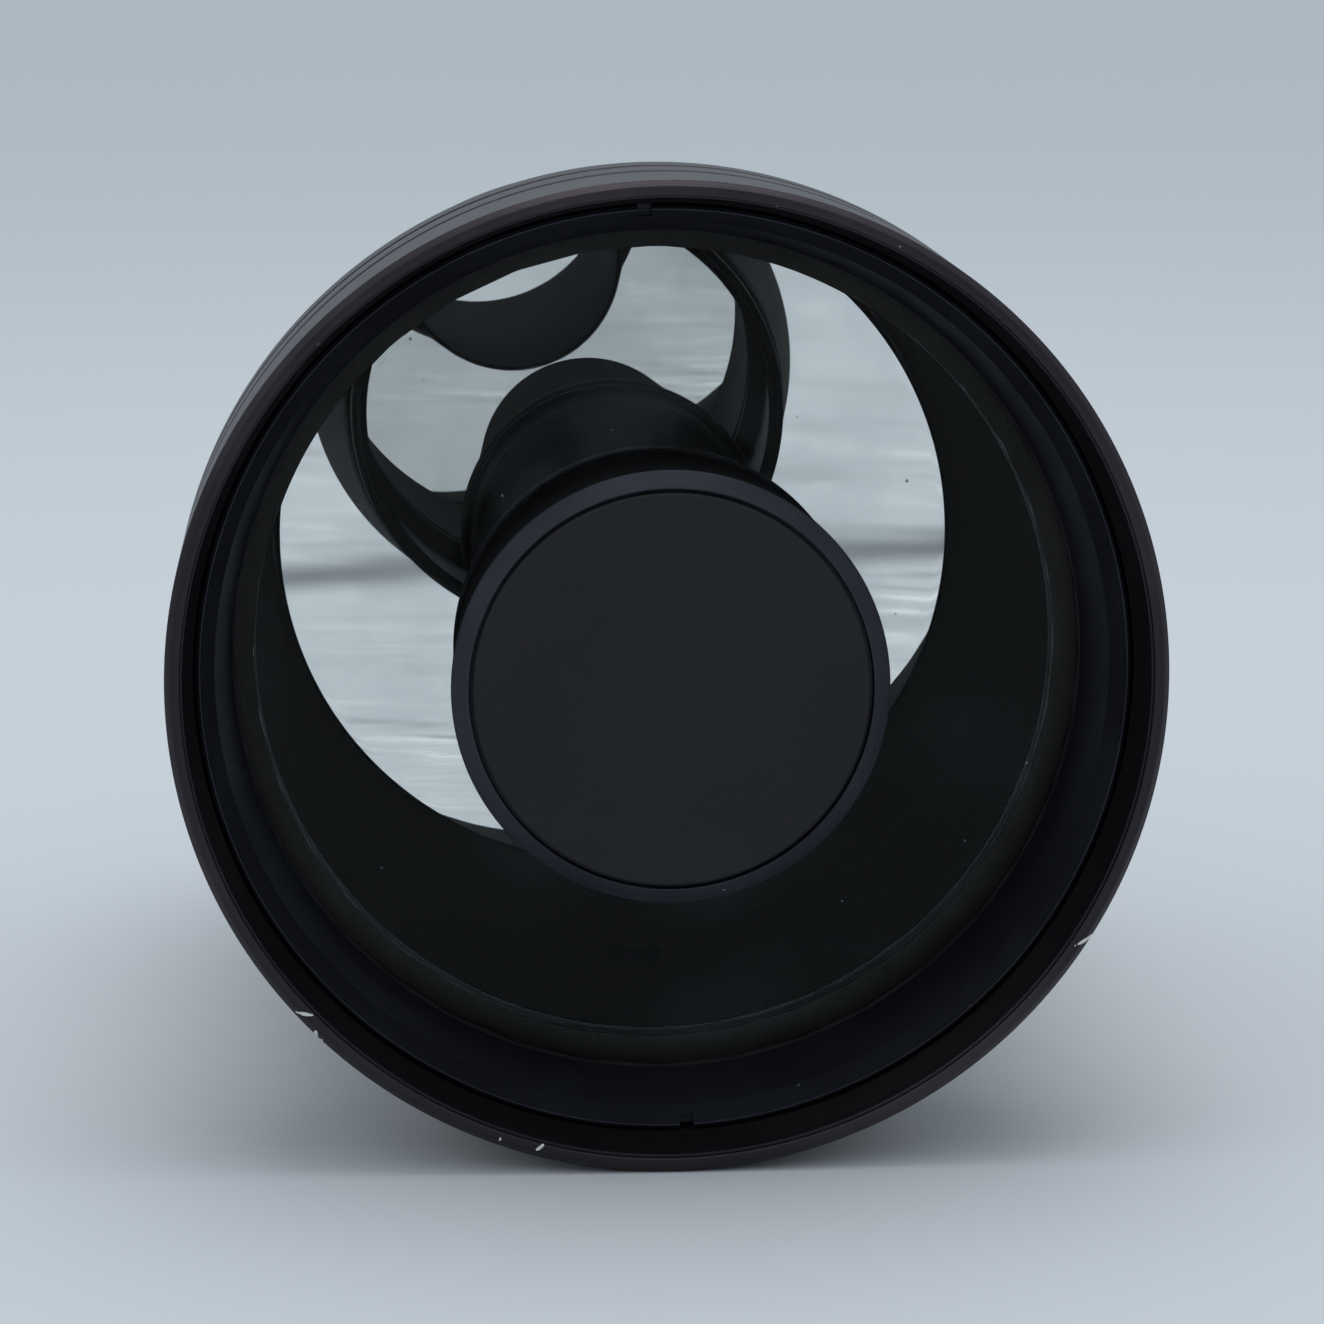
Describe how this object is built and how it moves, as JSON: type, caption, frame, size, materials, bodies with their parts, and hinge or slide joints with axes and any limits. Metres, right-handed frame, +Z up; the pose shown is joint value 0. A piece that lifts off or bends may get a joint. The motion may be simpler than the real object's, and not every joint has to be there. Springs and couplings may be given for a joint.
{
  "type": "schmidt-cassegrain telescope",
  "caption": "Compact catadioptric telescope tube: glass corrector with a central secondary housing, concave primary mirror on a focusing carriage, baffle tube and open rear port.",
  "frame": {"origin": "centre of the bounding box at its lowest level, under the tube where it stands on a table", "axes": "+Z up, +Y along the optical axis from the front opening to the rear port, +X to the right seen from the front"},
  "size_m": [0.1118, 0.1572, 0.1118],
  "materials": {
    "anodised_front": "faded purple-brown black anodise, satin",
    "anodised_inner": "blue-black anodise, satin",
    "flat_black": "matte black",
    "tube_paint": "fine-textured black enamel",
    "corrector_glass": "clear, lightly dusty",
    "mirror_coating": "aluminised front surface",
    "gasket_rubber": "matte",
    "grip_rubber": "ribbed, matte",
    "cork_pad": "granular cork",
    "screw_steel": "turned, satin",
    "insert_brass": "turned, satin",
    "nylon_washer": "natural nylon"
  },
  "bodies": {
    "tube": {"front_cell": "anodised_front", "corrector_retaining_ring": "anodised_inner", "corrector_front_gasket": "gasket_rubber", "corrector_plate": "corrector_glass", "corrector_rear_gasket": "gasket_rubber", "cell_set_screw_1": "screw_steel", "cell_set_screw_2": "screw_steel", "cell_set_screw_3": "screw_steel", "secondary_housing": "anodised_inner", "secondary_mirror": "mirror_coating", "secondary_gasket": "gasket_rubber", "secondary_clip_ring": "flat_black", "main_tube": "tube_paint", "finder_hole_screw_1": "screw_steel", "finder_hole_screw_2": "screw_steel", "tripod_foot": "tube_paint", "tripod_insert": "insert_brass", "foot_screw_1": "screw_steel", "foot_screw_2": "screw_steel", "primary_baffle_tube": "flat_black", "baffle_screw_1": "screw_steel", "baffle_screw_2": "screw_steel", "baffle_screw_3": "screw_steel", "rear_cell": "tube_paint", "rear_cell_screw_1": "screw_steel", "rear_cell_screw_2": "screw_steel", "rear_cell_screw_3": "screw_steel", "rear_cell_screw_4": "screw_steel", "rear_port_ring": "anodised_inner", "port_screw_1": "screw_steel", "port_screw_2": "screw_steel", "port_screw_3": "screw_steel", "focus_bushing": "insert_brass", "focus_thrust_washer": "nylon_washer"},
    "cover_cap": {"secondary_cover_cap": "flat_black"},
    "focus_drive": {"focus_rod": "screw_steel", "focus_knob": "anodised_inner", "focus_grip": "grip_rubber"},
    "mirror_carriage": {"primary_mirror": "mirror_coating", "mirror_gasket": "cork_pad", "mirror_carriage": "flat_black", "mirror_retaining_nut": "flat_black", "focus_nut": "insert_brass"}
  },
  "joints": [
    {"name": "cover_cap_pull", "type": "slide", "parent": "tube", "child": "cover_cap", "axis": [0, -1, 0], "range_m": [0, 0.02]},
    {"name": "focus_knob_turn", "type": "hinge", "parent": "tube", "child": "focus_drive", "pos_m": [-0.0362, 0.07195, 0.0559], "axis": [0, 1, 0], "range_deg": [-721, 721]},
    {"name": "mirror_slide", "type": "slide", "parent": "tube", "child": "mirror_carriage", "axis": [0, 1, 0], "range_m": [-0.002, 0.002]}
  ],
  "couplings": [
    {"joint": "focus_knob_turn", "follows": "mirror_slide", "rad_per_m": 6283.2}
  ]
}
